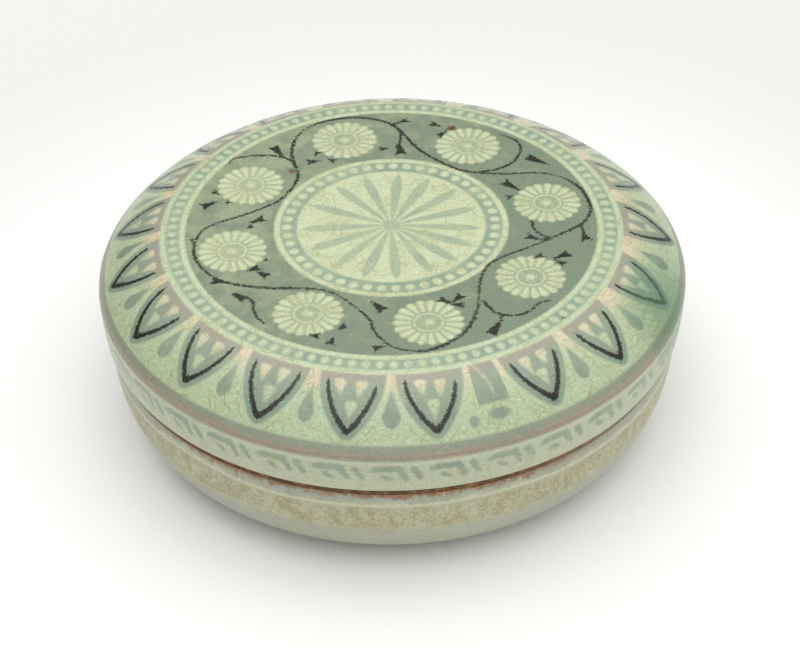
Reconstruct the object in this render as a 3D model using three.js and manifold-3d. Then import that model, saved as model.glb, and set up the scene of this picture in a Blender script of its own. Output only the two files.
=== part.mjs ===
// Inlaid celadon cosmetic box: a low round stoneware box and the domed cover that lifts off it.
// The cover's ornament is white and black clay set flush into carved recesses: a medallion,
// eight chrysanthemums on a vine, two lines round a band of beads, and a border of lotus petals.
// Millimetres, +Z up, origin at the centre of the foot.

import * as THREE from 'three';
import { mergeVertices } from 'three/addons/utils/BufferGeometryUtils.js';
import Module from 'manifold-3d';

const wasm = await Module();
wasm.setup();

// Whole object
const outerRadius = 41.5; // widest part of the cover, at the edge of its shoulder
const seamHeight = 16; // from the table to the top of the box's wall
const seatGap = 0.3; // between the two bare rims, where the cover sits

// Cover
const coverRise = 13.06; // from its rim to its crown
const shoulderWidth = 9.5; // in plan, from the outer white line to the widest part
const crownMargin = 0.3; // flat crown outside that line
const shoulderEdgeRise = 6.2; // height of the widest part above the rim
const shoulderStart = 1.3; // exponent of the shoulder's curve where it leaves the crown
const shoulderEnd = 0.8; // exponent of its curve where it meets the side
const rimLean = 0.42; // how far the side draws in from the widest part to the rim
const coverRimWidth = 3.8; // bare rim that sits on the box
const coverThickness = 3.4; // wall over the crown and the shoulder
const domeFullness = 2; // exponent of the curve inside its shoulder, as for the box's side

// Box
const rimOverhang = 0.6; // how far the cover's rim stands out over the box
const footRadius = 27; // edge of the flat ring that the box stands on
const footRingWidth = 3.5;
const footRecess = 1; // depth of the hollow under the base
const boxThickness = 3.6; // side wall and floor
const wallFullness = 2.7; // exponent of the side's curve: 2 is an ellipse, more is squarer

// Flange inside the box's mouth, which keeps the cover in place
const flangeHeight = 3;
const flangeThickness = 1.8;
const flangeClearance = 0.5; // to the cover, at its side and over its top

// Inlay
const inlayDepth = 0.5;
const inlayGap = 0.1; // all round each inlay, in its recess
const lineWidth = 0.8; // white lines that frame the fields
const medallionRadius = 13.2;
const medallionBeadZone = 2.8; // from the medallion's edge to the line round it
const lanceMargin = 0.7; // from the lances' outer ends to the medallion's edge
const lanceWidth = 1.5;
const lanceShoulder = 8.5; // from the centre to where a lance is widest
const wedgeTip = 2; // from the centre to the points of the white wedges between the lances
const beadBandWidth = 2.72; // between the middles of the two outer lines

// Chrysanthemums
const petalNotch = 0.9; // depth of the notches in a flower's edge
const petalCount = 18;
const petalCorner = 0.22; // share of a petal's width from a notch to the petal's full length

// Vine
const vineWidth = 0.6;
const vineMargin = 0.6; // from the middle of the vine's turns to the lines
const vineClearance = 0.9; // from a flower to the middle of the vine round it
const vineCross = 46; // most degrees that the vine turns off the line between two flowers, to cross it
const vineStep = 23; // degrees of a turn to each facet
const curlClearance = 1.3; // from a flower to the middle of the curl round it
const curlRoot = 0.4; // share of the way from a flower to the middle of the run before it
const curlSweep = 100; // degrees that a curl turns round its flower
const shootReach = 0.6; // share of half the field's width that a shoot with its leaf grows to
const shootWidth = 1.4;
const shootLean = 10; // degrees from the radius
const stemWidth = 0.42;

// Sprays of three leaves, one beside each flower
const leafClearance = 0.9; // from a flower to the point where its leaves meet
const leafReach = 0.46; // a leaf's length as a share of its flower's radius
const leafWidth = 1.1;
const leafEndWidth = 0.44;
const leafSpread = 60; // degrees between the leaves
const sprayTurns = [128, 70]; // degrees from the outward direction, by turns round the cover

// Lotus border: a black stroke along both sides of each petal
const strokeMargin = 1.3; // from the outer white line to the strokes' inner ends
const strokeDrop = 3.1; // in plan, from the strokes' points to the widest part
const strokeHalfAngle = 5.2; // degrees, from a petal's middle to its strokes' inner ends
const strokeEndWidth = 0.42;
const strokePointWidth = 0.72;
const strokeBelly = 0.9; // share of the half angle that a stroke keeps where it turns in

// Places round the cover, in degrees, uneven as the carver set them
const lanceAngles = [
  17.5, 41, 64, 84, 107.5, 129, 155, 182.5, 206, 230, 252.5, 272.5, 295, 315, 335, 355,
];
const flowerAngles = [12, 59.5, 107, 152.5, 193.5, 240, 282, 326];
const lotusAngles = [
  2, 22, 42.4, 62.8, 81.9, 100.2, 118.7, 136.8, 154.6, 172.3,
  190, 207.7, 225.3, 243.2, 260.8, 277.8, 302, 320.1, 340.3,
];

// Facets
const turnSteps = 48; // round the turned forms
const sideSteps = 6; // up the box's side
const insideSteps = 4; // up the curves inside the box and the cover
const cutMargin = 1; // how far a cutting block runs past what it cuts
const mergeTolerance = 1e-4;

// Radii and heights that follow from the sizes above
const crownRadius = outerRadius - shoulderWidth;
const coverRimRadius = outerRadius - rimLean;
const mouthRadius = coverRimRadius - coverRimWidth;
const boxRadius = coverRimRadius - rimOverhang;
const flangeRadius = mouthRadius - flangeClearance;
const flangeInner = flangeRadius - flangeThickness;
const coverBase = seamHeight + seatGap;
const crownHeight = coverBase + coverRise;
const shoulderEdgeHeight = coverBase + shoulderEdgeRise;
const floorHeight = footRecess + boxThickness;
const medallionLine = medallionRadius + medallionBeadZone;
const outerLine = crownRadius;
const innerLine = outerLine - beadBandWidth;
const flatRadius = outerLine + lineWidth / 2 + crownMargin;
const fieldInner = medallionLine + lineWidth / 2;
const fieldOuter = innerLine - lineWidth / 2;
const fieldHalf = (fieldOuter - fieldInner) / 2;
const flowerRing = (fieldInner + fieldOuter) / 2;
const shootLength = shootReach * fieldHalf;
const strokeStart = outerLine + lineWidth / 2 + strokeMargin;
const strokePoint = outerRadius - strokeDrop;

const clay = { color: 0x8fa392, roughness: 0.32, metalness: 0 };
const boxClay = { color: 0xa3a78e, roughness: 0.45, metalness: 0 };
const whiteClay = { color: 0xc9d3b4, roughness: 0.32, metalness: 0 };
const blackClay = { color: 0x2c3430, roughness: 0.32, metalness: 0 };

const degrees = Math.PI / 180;
const fullTurn = 2 * Math.PI;
const polar = (radius, angle) => new THREE.Vector2(radius * Math.cos(angle), radius * Math.sin(angle));

// Flowers are as large as the field's width and the closest two of them allow
const flowerCentre = (i) => polar(flowerRing, flowerAngles.at(i % flowerAngles.length) * degrees);
const closest = Math.min(...flowerAngles.map((_, i) => flowerCentre(i).distanceTo(flowerCentre(i + 1))));
const vineSwing = Math.min(fieldHalf - vineMargin, (closest / 2) * Math.sin(vineCross * degrees));
const flowerRadius = vineSwing - vineClearance;
const leafLength = leafReach * flowerRadius;

// Profiles are [radius, height] points, listed up the outside

// The cover's outside, from its rim to the middle of its flat crown
function coverOutside() {
  const points = [];
  for (const down of [1, 0.67, 0.33]) {
    points.push([outerRadius - rimLean * down ** 2, shoulderEdgeHeight - shoulderEdgeRise * down]);
  }
  for (const out of [1, 0.93, 0.72, 0.38, 0]) {
    const drop = 1 - (1 - out ** shoulderStart) ** shoulderEnd;
    points.push([
      flatRadius + (outerRadius - flatRadius) * out,
      crownHeight - (crownHeight - shoulderEdgeHeight) * drop,
    ]);
  }
  points.push([0, crownHeight]);
  return points;
}

// A bowl's curve from the edge of its flat floor to its mouth; a mouth under the floor gives a dome
function bowl([floorRadius, floorLevel], [openRadius, openLevel], fullness, steps) {
  return Array.from({ length: steps + 1 }, (_, step) => {
    const turn = (Math.PI / 2) * (step / steps);
    const out = Math.sin(turn) ** (2 / fullness);
    const down = Math.cos(turn) ** (2 / fullness);
    return [
      floorRadius + (openRadius - floorRadius) * out,
      openLevel - (openLevel - floorLevel) * down,
    ];
  });
}

// The profile parallel to another, set in by a depth
function setIn(profile, depth) {
  const inward = (i) => {
    const [from, to] = profile.slice(i, i + 2);
    return new THREE.Vector2(from[1] - to[1], to[0] - from[0]).normalize();
  };
  return profile.map(([radius, height], i) => {
    const before = inward(Math.max(i - 1, 0));
    const after = inward(Math.min(i, profile.length - 2));
    const corner = before.clone().add(after).multiplyScalar(depth / (1 + before.dot(after)));
    return [radius + corner.x, height + corner.y];
  });
}

function solidOf(geometry) {
  geometry.deleteAttribute('normal');
  geometry.deleteAttribute('uv');
  const merged = mergeVertices(geometry, mergeTolerance);
  const corners = merged.index.array;
  const kept = [];
  for (let i = 0; i < corners.length; i += 3) {
    const [a, b, c] = corners.slice(i, i + 3);
    if (a !== b && b !== c && c !== a) kept.push(a, b, c);
  }
  return new wasm.Manifold(new wasm.Mesh({
    numProp: 3,
    vertProperties: new Float32Array(merged.attributes.position.array),
    triVerts: new Uint32Array(kept),
  }));
}

// A solid turned round Z from a profile
function turned(profile) {
  const points = profile.map(([radius, height]) => new THREE.Vector2(Math.max(radius, 0), height));
  const geometry = new THREE.LatheGeometry(points, turnSteps);
  return solidOf(geometry.rotateX(Math.PI / 2));
}

// A tall block whose plan is an outline with holes, through the whole cover
function block(outline, holes = []) {
  const shape = new THREE.Shape(outline);
  shape.holes = holes.map((hole) => new THREE.Path(hole));
  const depth = coverRise + 2 * cutMargin;
  const geometry = new THREE.ExtrudeGeometry(shape, { depth, bevelEnabled: false, curveSegments: 1 });
  return solidOf(geometry.translate(0, 0, coverBase - cutMargin));
}

function circle(radius) {
  return Array.from({ length: turnSteps }, (_, i) => polar(radius, (fullTurn * i) / turnSteps));
}

const ring = (radius, width) => block(circle(radius + width / 2), [circle(radius - width / 2)]);

// A ribbon along a path, with its width at each point of the path, set in all round
function ribbon(path, widths, inset) {
  const line = path.map((point) => point.clone());
  [[0, 1], [-1, -2]].forEach(([end, next]) => {
    line.at(end).add(path.at(next).clone().sub(path.at(end)).setLength(inset));
  });
  const side = (sign) => line.map((point, i) => {
    const before = line[Math.max(i - 1, 0)];
    const after = line[Math.min(i + 1, line.length - 1)];
    const along = after.clone().sub(before).setLength(sign * (widths[i] / 2 - inset));
    return new THREE.Vector2(point.x - along.y, point.y + along.x);
  });
  return block([...side(-1), ...side(1).reverse()]);
}

// White medallion, pierced by a star of lances in the cover's own clay
function medallionPlan(inset) {
  const star = [];
  lanceAngles.forEach((degree, i) => {
    const angle = degree * degrees;
    const next = lanceAngles[(i + 1) % lanceAngles.length] * degrees;
    const between = angle + ((next - angle + fullTurn) % fullTurn) / 2;
    const side = (sign) => polar(lanceShoulder, angle).add(
      polar(sign * (lanceWidth / 2 + inset), angle + Math.PI / 2));
    star.push(side(-1), polar(medallionRadius - lanceMargin + inset, angle), side(1));
    star.push(polar(wedgeTip + 2 * inset, between));
  });
  return block(circle(medallionRadius - inset), [star]);
}

// Chrysanthemum: a disc whose edge is notched between its petals
function flowerPlan(index, inset) {
  const centre = flowerCentre(index);
  const petal = fullTurn / petalCount;
  const slope = Math.atan2(petalCorner * petal * flowerRadius, petalNotch);
  const corner = petalCorner * petal + (inset * Math.tan(Math.PI / 4 - slope / 2)) / flowerRadius;
  const points = [];
  for (let i = 0; i < petalCount; i++) {
    const notch = flowerAngles[index] * degrees + petal * i;
    points.push(polar(flowerRadius - petalNotch - inset / Math.sin(slope), notch).add(centre));
    points.push(polar(flowerRadius - inset, notch + corner).add(centre));
    points.push(polar(flowerRadius - inset, notch + petal - corner).add(centre));
  }
  return block(points);
}

// Vine: it passes outside one flower and inside the next, in arcs joined by straight runs that
// cross the line between the two flowers halfway
const halfway = (i) => flowerCentre(i).lerp(flowerCentre(i + 1), 0.5);

function runHeading(i) {
  const line = flowerCentre(i + 1).sub(flowerCentre(i));
  const cross = Math.asin((2 * vineSwing) / line.length());
  return line.angle() + (i % 2 ? -cross : cross);
}

// The arc round a flower, from the run before it to the run after it
function vineArc(i) {
  const arriving = runHeading(i - 1);
  const turn = THREE.MathUtils.euclideanModulo(runHeading(i) - arriving + Math.PI, fullTurn) - Math.PI;
  const steps = Math.round((i % 2 ? -turn : turn) / (vineStep * degrees));
  const shares = steps > 0 ? Array.from({ length: steps + 1 }, (_, step) => step / steps) : [0.5];
  const outwards = (i % 2 ? 1 : -1) * (Math.PI / 2);
  return shares.map((share) => (
    polar(vineSwing, arriving + turn * share + outwards).add(flowerCentre(i))));
}

function vinePlan(inset) {
  const path = flowerAngles.flatMap((_, i) => vineArc(i));
  const side = (sign) => path.map((point, i) => {
    const along = path[(i + 1) % path.length].clone().sub(path.at(i - 1));
    along.setLength(sign * (vineWidth / 2 - inset));
    return new THREE.Vector2(point.x + along.y, point.y - along.x);
  });
  let plan = block(side(1), [side(-1)]);
  flowerAngles.forEach((_, i) => {
    plan = plan.add(shoot(i, 1, inset));
    if (i % 2) plan = plan.add(shoot(i, -1, inset)).add(curl(i, inset));
  });
  return plan;
}

// A curl leaves the vine before every second flower and turns round the flower's outer side
function curl(i, inset) {
  const centre = flowerCentre(i);
  const root = vineArc(i)[0].lerp(halfway(i - 1), curlRoot).sub(centre);
  const reach = flowerRadius + curlClearance;
  const shares = [0, 0.2, 0.4, 0.6, 0.8, 1];
  const path = shares.map((share) => {
    const leaving = Math.max(0, 1 - 2.5 * share);
    const distance = reach + (root.length() - reach) * leaving;
    return polar(distance, root.angle() + curlSweep * degrees * share).add(centre);
  });
  const widths = shares.map((share) => vineWidth + (stemWidth - vineWidth) * share);
  return ribbon(path, widths, inset);
}

// A leaf on a short stem that grows outwards or inwards from the run after a flower
function shoot(i, sign, inset) {
  const root = halfway(i);
  const tip = root.clone().add(polar(sign * shootLength, root.angle() + sign * shootLean * degrees));
  const path = [0, 0.5, 0.8, 1].map((share) => root.clone().lerp(tip, share));
  return ribbon(path, [stemWidth, stemWidth, shootWidth, stemWidth], inset);
}

// Three leaves that meet at one point beside a flower
function sprayPlan(index, inset) {
  const away = (flowerAngles[index] + sprayTurns[index % sprayTurns.length]) * degrees;
  const root = flowerCentre(index).add(polar(flowerRadius + leafClearance, away));
  const widths = [leafEndWidth, leafWidth, leafEndWidth];
  const leaves = [-1, 0, 1].map((place) => {
    const along = polar(1, away + place * leafSpread * degrees);
    const steps = [-leafEndWidth / 2, 0.7 * leafLength, leafLength];
    return ribbon(steps.map((step) => root.clone().addScaledVector(along, step)), widths, inset);
  });
  return leaves[0].add(leaves[1]).add(leaves[2]);
}

// The two strokes of a lotus petal, which bend in and meet at its point
function strokePlan(angle, inset) {
  const widths = [strokeEndWidth, strokePointWidth, strokePointWidth];
  const arms = [-1, 1].map((sign) => {
    const turn = sign * strokeHalfAngle * degrees;
    const start = polar(strokeStart, angle + turn);
    const bend = polar((strokeStart + strokePoint) / 2, angle + turn * strokeBelly);
    const curve = new THREE.QuadraticBezierCurve(start, bend, polar(strokePoint, angle));
    return ribbon(curve.getPoints(widths.length - 1), widths, inset);
  });
  return arms[0].add(arms[1]);
}

// A layer of the cover, between two depths under its outside
function layer(outerDepth, innerDepth) {
  const inner = setIn(coverOutside(), innerDepth).reverse();
  return turned([...inner, ...setIn(coverOutside(), outerDepth)]);
}

const inlayLayer = layer(0, inlayDepth);
const recessLayer = layer(-cutMargin, inlayDepth + inlayGap);
const recesses = [];
const cover = new THREE.Group();

function addMesh(group, name, solid, finish) {
  const { vertProperties, triVerts } = solid.getMesh();
  const geometry = new THREE.BufferGeometry();
  geometry.setAttribute('position', new THREE.BufferAttribute(vertProperties, 3));
  geometry.setIndex(new THREE.BufferAttribute(triVerts, 1));
  geometry.computeVertexNormals();
  const mesh = new THREE.Mesh(geometry, new THREE.MeshStandardMaterial({ ...finish, flatShading: true }));
  mesh.name = name;
  group.add(mesh);
}

// An inlay fills a recess of the same plan, set in by the gap
function addInlay(name, finish, plan) {
  recesses.push(recessLayer.intersect(plan(0)));
  addMesh(cover, name, inlayLayer.intersect(plan(inlayGap)), finish);
}

const linePlan = (radius) => (inset) => ring(radius, lineWidth - 2 * inset);

addInlay('medallion_ground', whiteClay, medallionPlan);
addInlay('medallion_line', whiteClay, linePlan(medallionLine));
addInlay('bead_band_inner_line', whiteClay, linePlan(innerLine));
addInlay('bead_band_outer_line', whiteClay, linePlan(outerLine));
flowerAngles.forEach((_, i) => {
  addInlay(`chrysanthemum_${i + 1}`, whiteClay, (inset) => flowerPlan(i, inset));
});
addInlay('vine_scroll', blackClay, vinePlan);
flowerAngles.forEach((_, i) => {
  addInlay(`leaf_spray_${i + 1}`, blackClay, (inset) => sprayPlan(i, inset));
});
lotusAngles.forEach((angle, i) => {
  addInlay(`lotus_stroke_${i + 1}`, blackClay, (inset) => strokePlan(angle * degrees, inset));
});

// Cover: a hollow dome with a bare flat rim and straight sides as far up as the flange reaches
function coverShell() {
  const ceiling = [crownRadius - coverThickness, crownHeight - coverThickness];
  const straightTop = [mouthRadius, coverBase + flangeHeight + flangeClearance];
  return turned([
    [0, crownHeight - coverThickness],
    ...bowl(ceiling, straightTop, domeFullness, insideSteps),
    [mouthRadius, coverBase],
    ...coverOutside(),
  ]);
}

const pierced = recesses.reduce((shell, recess) => shell.subtract(recess), coverShell());
addMesh(cover, 'cover_body', pierced, clay);

// Box: a bowl with a flat foot ring, a bare rim and the flange standing inside the rim
function boxShell() {
  const insideMouth = [boxRadius - boxThickness, seamHeight];
  const inside = bowl([footRadius, floorHeight], insideMouth, wallFullness, insideSteps);
  return turned([
    [0, footRecess],
    [footRadius - footRingWidth - footRecess, footRecess],
    [footRadius - footRingWidth, 0],
    ...bowl([footRadius, 0], [boxRadius, seamHeight], wallFullness, sideSteps),
    [flangeRadius, seamHeight],
    [flangeRadius, seamHeight + flangeHeight],
    [flangeInner, seamHeight + flangeHeight],
    ...inside.filter(([radius]) => radius < flangeInner).reverse(),
    [0, floorHeight],
  ]);
}

const object = new THREE.Group();
addMesh(object, 'box_body', boxShell(), boxClay);
object.add(cover);

export default object;
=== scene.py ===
"""Looks of a low round celadon cosmetic box with a lift-off cover, inlaid in white and black clay.

Each vessel is three turned pieces: a clay body with bare rims, a glaze coat outside and a glaze
lining inside. The cover's coat carries the inlay: its mesh knows how far each point is from what
is drawn there, and its material gives the drawing its ragged edges and its colours. Lengths are
in millimetres until a mesh is made.
"""

import math

import bpy
import numpy as np
from mathutils import Matrix, Vector


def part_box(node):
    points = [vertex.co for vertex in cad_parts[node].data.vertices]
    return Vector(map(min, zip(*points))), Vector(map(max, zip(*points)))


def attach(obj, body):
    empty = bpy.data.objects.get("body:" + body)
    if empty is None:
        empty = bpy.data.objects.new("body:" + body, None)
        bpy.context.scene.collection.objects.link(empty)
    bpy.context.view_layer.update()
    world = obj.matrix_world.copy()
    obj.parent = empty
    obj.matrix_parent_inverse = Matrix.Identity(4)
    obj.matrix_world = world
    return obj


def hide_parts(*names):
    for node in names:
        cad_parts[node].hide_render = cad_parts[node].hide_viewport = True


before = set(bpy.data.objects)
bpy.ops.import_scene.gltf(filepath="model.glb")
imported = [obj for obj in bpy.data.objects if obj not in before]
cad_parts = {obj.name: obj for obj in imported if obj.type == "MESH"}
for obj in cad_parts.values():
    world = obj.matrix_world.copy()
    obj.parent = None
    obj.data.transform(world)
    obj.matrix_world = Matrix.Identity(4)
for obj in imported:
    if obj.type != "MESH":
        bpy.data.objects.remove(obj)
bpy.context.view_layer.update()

MM = 0.001
FULL_TURN = 2 * math.pi
random = np.random.default_rng(12)


def node_size(node):
    """Radius, lowest and highest level of a turned CAD node, in millimetres."""
    low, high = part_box(node)
    return high.x / MM, low.z / MM, high.z / MM


COVER_RADIUS, COVER_BASE, CROWN = node_size("cover_body")
BOX_RADIUS, FOOT, FLANGE_TOP = node_size("box_body")

# Cover, as in the CAD source
SHOULDER_WIDTH = 9.5
SHOULDER_EDGE = COVER_BASE + 6.2
SHOULDER_START = 1.286  # exponent of the shoulder's curve where it leaves the crown
SHOULDER_END = 1 / 1.26  # exponent of its curve where it meets the side
RIM_LEAN = 0.42
COVER_RIM_WIDTH = 3.8
COVER_THICKNESS = 3.4
DOME_FULLNESS = 2
STRAIGHT_TOP = COVER_BASE + 3.5
CROWN_RADIUS = COVER_RADIUS - SHOULDER_WIDTH
RIM_RADIUS = COVER_RADIUS - RIM_LEAN
MOUTH_RADIUS = RIM_RADIUS - COVER_RIM_WIDTH

# Box, as in the CAD source
SEAT_GAP = 0.3
SEAM = COVER_BASE - SEAT_GAP
FOOT_RADIUS = 27
FOOT_RING_WIDTH = 3.5
FOOT_RECESS = 1
BOX_THICKNESS = 3.6
WALL_FULLNESS = 2.7
FLANGE_CLEARANCE = 0.5
FLANGE_THICKNESS = 1.8
FLANGE_RADIUS = MOUTH_RADIUS - FLANGE_CLEARANCE
FLANGE_INNER = FLANGE_RADIUS - FLANGE_THICKNESS
FLOOR_LEVEL = FOOT_RECESS + BOX_THICKNESS

# Hand-made surfaces
CROWN_SAG = 0.2  # how far the crown has dropped at the outer white line
SKIN = 0.03  # keeps the glaze inside the CAD model's box
GLAZE = 0.3  # thickness of the coats and the linings
LAP = 0.03  # how far the clay stands into the glaze, so that no slit shows between them
COVER_BARE = 0.35  # bare clay under the edge of the cover's coat
LINING_SHORT = 8  # how many points of its inside the cover's lining leaves bare at the mouth
FLANGE_BARE = 0.9  # bare clay over the box's lining
BOX_BARE = 0.5  # bare clay over the edge of the box's coat

# Steps of the meshes, round the axis and along a profile
TURN_STEPS = 512
BOX_STEPS = 384
CLAY_STEPS = 256
LINING_STEPS = 128
INLAY_STEP = 0.31
BOX_STEP = 0.42
PLAIN_STEP = 0.8
EDGE_POINTS = 5  # points round the edge of a coat

# Inlay, as in the CAD source; places round the cover are in degrees from +X
MEDALLION_RADIUS = 13.2
MEDALLION_LINE = 16.0
OUTER_LINE = CROWN_RADIUS
INNER_LINE = OUTER_LINE - 2.72
LINE_WIDTH = 0.8
FLOWER_RING = (MEDALLION_LINE + INNER_LINE) / 2
FLOWER_RADIUS = 4.74
LANCES = [17.5, 41, 64, 84, 107.5, 129, 155, 182.5, 206, 230, 252.5, 272.5, 295, 315, 335, 355]
FLOWERS = [12, 59.5, 107, 152.5, 193.5, 240, 282, 326]
PETALS = [
    2, 22, 42.4, 62.8, 81.9, 100.2, 118.7, 136.8, 154.6, 172.3,
    190, 207.7, 225.3, 243.2, 260.8, 277.8, 302, 320.1, 340.3,
]

# Inlay that the CAD source leaves plain
MEDALLION_BEADS = 47
BAND_BEADS = 106
FLOWER_PETALS = 19
RUN_START = 28  # radius where the run down the shoulder is 0
FAR = 3.0  # a distance that counts as clear of every motif

# The vine's middle, in plan, as on the photographed cover
VINE = [
    (11.1, 12.9), (9.0, 14.1), (6.0, 16.8), (3.7, 19.8), (2.1, 23.1), (0.3, 25.7), (-2.7, 27.3),
    (-6.0, 27.7), (-9.9, 26.7), (-12.7, 24.5), (-14.1, 21.3), (-14.3, 18.0), (-13.8, 15.6),
    (-13.3, 12.6), (-14.1, 9.6), (-15.9, 6.5), (-18.3, 4.7), (-21.3, 2.9), (-24.5, 1.3),
    (-26.5, -0.5), (-27.4, -4.2), (-26.6, -7.9), (-24.5, -10.9), (-22.2, -12.5), (-18.9, -13.5),
    (-15.6, -13.9), (-11.4, -14.2), (-8.4, -15.0), (-5.4, -18.0), (-3.1, -21.3), (-2.5, -23.7),
    (-0.6, -26.7), (2.4, -28.0), (5.4, -27.6), (9.0, -24.9), (10.8, -21.3), (11.6, -17.1),
    (11.8, -13.8), (12.9, -10.3), (15.0, -8.1), (19.8, -5.4), (23.4, -3.0), (26.5, -0.7),
    (28.0, 1.9), (28.1, 4.8), (27.0, 8.4), (24.6, 11.1), (21.6, 12.2), (18.0, 12.1), (14.4, 12.2),
]
# Curls and stems that leave it
STEMS = [
    [(13.2, 12.7), (15.9, 13.5), (18.0, 15.3), (19.2, 18.0), (18.9, 20.4), (17.4, 21.9), (16.4, 22.4)],
    [(-13.6, 14.7), (-14.4, 16.5), (-16.5, 17.8), (-19.8, 18.0), (-22.9, 17.4), (-23.4, 16.2)],
    [(-21.3, -14.9), (-18.9, -16.5), (-18.6, -18.6), (-17.9, -20.4), (-17.1, -21.4)],
    [(12.2, -18.0), (13.5, -20.1), (15.9, -21.1), (18.3, -20.1), (19.5, -18.5), (20.9, -17.9)],
    [(19.7, 0.1), (19.9, -1.5), (20.9, -3.1), (22.2, -3.7)],
    [(1.7, 23.4), (1.6, 21.3), (1.0, 19.5)],
    [(0.7, 25.8), (2.1, 26.3)],
    [(-15.6, 17.5), (-16.1, 18.9)],
    [(26.5, -0.9), (26.8, -2.7)],
    [(14.5, -20.9), (14.3, -22.2)],
    [(21.6, -3.9), (20.1, -4.1)],
]
# Leaves, from the point to the blunt end
LEAVES = [
    (18.6, 7.7, 16.1, 10.2), (17.5, 6.7, 16.3, 6.0), (20.5, -4.1, 18.6, -3.1), (26.6, -2.3, 27.1, -4.7),
    (7.8, 24.9, 6.0, 25.8), (8.3, 24.0, 10.0, 24.5), (8.5, 23.5, 7.1, 22.1), (23.3, 14.1, 19.9, 16.5),
    (1.3, 26.0, 3.0, 26.9), (1.3, 20.9, 1.7, 17.4), (-0.1, 19.3, -1.7, 19.0), (-10.1, 16.3, -12.2, 16.0),
    (-9.1, 16.8, -7.8, 16.0), (-11.0, 17.6, -10.3, 19.0), (-15.6, 17.5, -17.2, 20.5),
    (-24.7, 6.6, -27.0, 5.3), (-23.6, 6.1, -22.7, 6.7), (-24.5, 8.3, -25.6, 9.3),
    (-19.9, -10.1, -18.0, -9.0), (-18.5, -10.0, -16.8, -11.4), (-17.5, -7.9, -16.9, -7.2),
    (-19.9, 1.2, -17.7, 2.4), (-20.3, 0.0, -19.1, 0.6), (-22.2, -12.4, -24.7, -11.9),
    (-21.6, -15.0, -19.7, -16.3), (-11.3, -24.1, -9.5, -24.5), (-7.9, -24.7, -8.4, -26.5),
    (-7.3, -23.3, -6.0, -22.2), (-2.9, -17.3, -1.1, -19.6), (-1.1, -26.9, -2.9, -27.5),
    (7.8, -18.1, 6.1, -17.0), (7.9, -18.0, 9.4, -16.2), (7.8, -18.4, 9.7, -18.6),
    (19.3, -8.5, 21.0, -7.6), (22.2, -8.7, 24.5, -7.3), (22.4, -9.0, 23.8, -10.0),
    (14.4, -21.7, 12.8, -25.1), (-28.0, -2.1, -27.2, -2.9),
]

# Lotus petals of the shoulder; runs are measured down it
PETAL_ROOT = 5.4
PETAL_TIP = 12.4
PETAL_HALF = 3.15
PETAL_MARGIN = 1.15  # body clay between a petal's black outline and the white
NODES = [
    11.5, 32.5, 52.3, 73.2, 90.5, 109.8, 127.6, 146, 163.2, 181.3,
    198.8, 216.5, 234, 252.3, 269.3, 286.3, 293.5, 310.6, 329.6, 351,
]
BLANK = 289.9  # the narrow panel that holds no petal
PANEL_DROPS = [(285.1, 12.1, 0.65, 0.85), (290.4, 11.7, 1.5, 0.85)]
TEARS = [node for node in NODES if abs(node - BLANK) > 5]
FRET_HOOKS = 34

# Flowers
PETAL_GAP = 0.16  # half the gap between two petals
PETAL_CAP = 0.55  # radius of a petal's round end

# Places in the model's frame
POOL_MIDDLE = (38.5, -14.0, CROWN - 4.5)
SPECKS = [
    ((9.3, 24.4, CROWN), 0.9), ((-14.1, 13.8, CROWN), 0.7),
    ((22.6, -21.5, CROWN), 0.35), ((9.5, -40.5, CROWN - 9), 0.3),
]
RUST_MIDDLE = (-5, -BOX_RADIUS, SEAM)
SPUR_RING = 15
SPUR_TURNS = (80, 200, 320)

# Colours, 0 to 255
BODY = (142, 162, 140)
BODY_PALE = (164, 182, 154)
FIELD = (122, 138, 115)
FIELD_PALE = (166, 174, 140)
PETAL_TEAL = (124, 160, 136)
PETAL_GREY = (152, 166, 144)
MAUVE = (172, 162, 146)
SIDE = (188, 195, 168)
BAND_GREY = (164, 168, 148)
WHITE = (216, 223, 184)
WHITE_CLOUD = (190, 204, 164)
WHITE_BRIGHT = (244, 247, 218)
WHITE_PINK = (232, 212, 182)
WHITE_BAND = (194, 212, 178)
WHITE_GREEN = (200, 226, 184)
FRET = (138, 158, 138)
STAIN = (176, 160, 100)
PINK_BAND = (190, 172, 150)
PINK_LINE = (168, 138, 114)
PALE_LINE = (200, 202, 174)
RIM_PALE = (188, 190, 160)
INK = (12, 20, 8)
CRACK = (168, 150, 92)
AGED = (202, 198, 140)
OCHRE = (158, 126, 66)
POOL = (98, 144, 112)
IRON = (110, 72, 44)
IRON_DARK = (52, 38, 26)
BOX_GLAZE = (158, 161, 138)
BOX_GLAZE_PALE = (182, 185, 158)
BOX_BAND = (160, 164, 150)
BOX_OLIVE = (188, 189, 158)
BOX_BROWN = (156, 136, 90)
BOX_BASE = (172, 174, 156)
RUST = (138, 98, 58)
EMBER = (206, 156, 116)
SPUR = (206, 198, 176)
CLAY_GREY = (170, 160, 138)
CLAY_TAN = (174, 148, 116)
CLAY_ORANGE = (168, 124, 82)
CLAY_BROWN = (88, 64, 44)
# The floor's painted light: paler near the box and darker further out.
FLOOR_NEAR_PAINTED_LIGHT = (253, 253, 252)
FLOOR_FAR_PAINTED_DIM = (233, 233, 230)

# Bake maps: the middle and radius of each mesh's two discs
MAIN_DISCS = ((0.5, 0.5), 0.495), ((0.075, 0.075), 0.065)
EVEN_DISCS = ((0.26, 0.26), 0.24), ((0.74, 0.74), 0.24)
CROWN_TURN = 0.9  # how far on each side the crown's edge is rounded


def arc_points(corner, before, after, radius, steps=5):
    """A corner of a profile rounded off with a curve that starts and ends a radius away from it."""
    corner, before, after = (np.array(p, float) for p in (corner, before, after))
    start = corner + (before - corner) * radius / np.linalg.norm(before - corner)
    end = corner + (after - corner) * radius / np.linalg.norm(after - corner)
    shares = np.linspace(0, 1, steps)[:, None]
    return (1 - shares) ** 2 * start + 2 * shares * (1 - shares) * corner + shares**2 * end


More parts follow.
